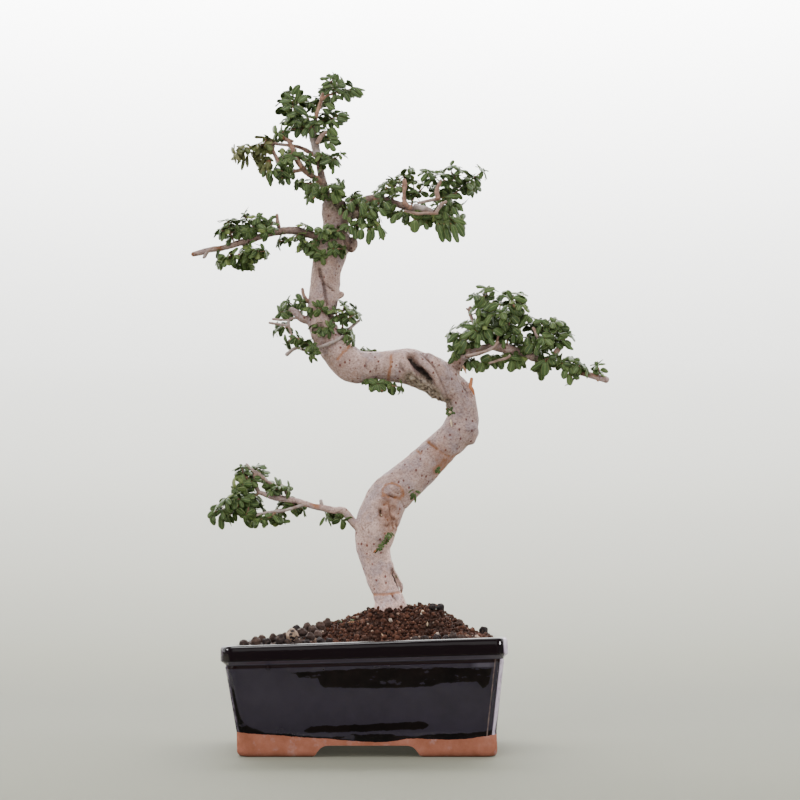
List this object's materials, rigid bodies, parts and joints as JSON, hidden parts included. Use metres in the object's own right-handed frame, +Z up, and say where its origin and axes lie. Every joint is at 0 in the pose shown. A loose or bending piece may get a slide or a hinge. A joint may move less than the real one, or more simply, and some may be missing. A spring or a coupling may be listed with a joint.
{
  "type": "chinese elm bonsai in a glazed rectangular pot",
  "caption": "Informal upright bonsai tree with a winding bare trunk, small toothed leaves in separate pads, grainy soil, and a footed glazed rectangular pot.",
  "frame": {"origin": "bottom centre of the whole object's box, on the surface that the pot's feet stand on", "axes": "+Z up, +X to the right as seen from the front, +Y to the back; the front of the tree and pot faces -Y"},
  "size_m": [0.3204, 0.15, 0.5198],
  "materials": {
    "glazed_ceramic": "gloss",
    "net_plastic": "matte",
    "akadama": "matte",
    "fired_clay": "matte",
    "bark": "matte",
    "foliage": "satin"
  },
  "bodies": {
    "root": {"pot": "glazed_ceramic", "drain_mesh_left": "net_plastic", "drain_mesh_right": "net_plastic", "soil": "akadama", "clay_pellets": "fired_clay", "trunk": "bark", "crown": "foliage", "leader_right": "foliage", "leader_right_low": "foliage", "upper_left": "foliage", "upper_left_low": "foliage", "left_inner": "foliage", "left_back": "foliage", "left_low_a": "foliage", "left_low_b": "foliage", "far_left": "foliage", "right_twig": "foliage", "leader_right_base": "foliage", "right_top_near": "foliage", "front_twig": "foliage", "right_top_inner": "foliage", "right_top_mid_a": "foliage", "right_top_mid_b": "foliage", "right_top_below": "foliage", "right_end_top": "foliage", "right_end_hang": "foliage", "left_end_top": "foliage", "left_mid_top": "foliage", "left_stub_top": "foliage", "left_hang": "foliage", "left_near_a": "foliage", "left_near_b": "foliage", "tuft_top_left": "foliage", "tuft_front": "foliage", "tangle_top": "foliage", "loop_leaves": "foliage", "trunk_left_low": "foliage", "right_small_top": "foliage", "tangle_low": "foliage", "right_base": "foliage", "right_base_low": "foliage", "right_tall_a": "foliage", "right_tall_b": "foliage", "right_tall_c": "foliage", "right_mid": "foliage", "right_upright": "foliage", "right_high": "foliage", "right_mid_hang": "foliage", "right_outer": "foliage", "right_ball": "foliage", "right_under": "foliage", "low_left_tip": "foliage", "low_left_up": "foliage", "low_left_mid": "foliage", "low_left_inner": "foliage", "low_left_under": "foliage", "low_left_near": "foliage", "under_twig": "foliage", "back_tuft": "foliage", "tuft_low": "foliage"}
  },
  "joints": []
}
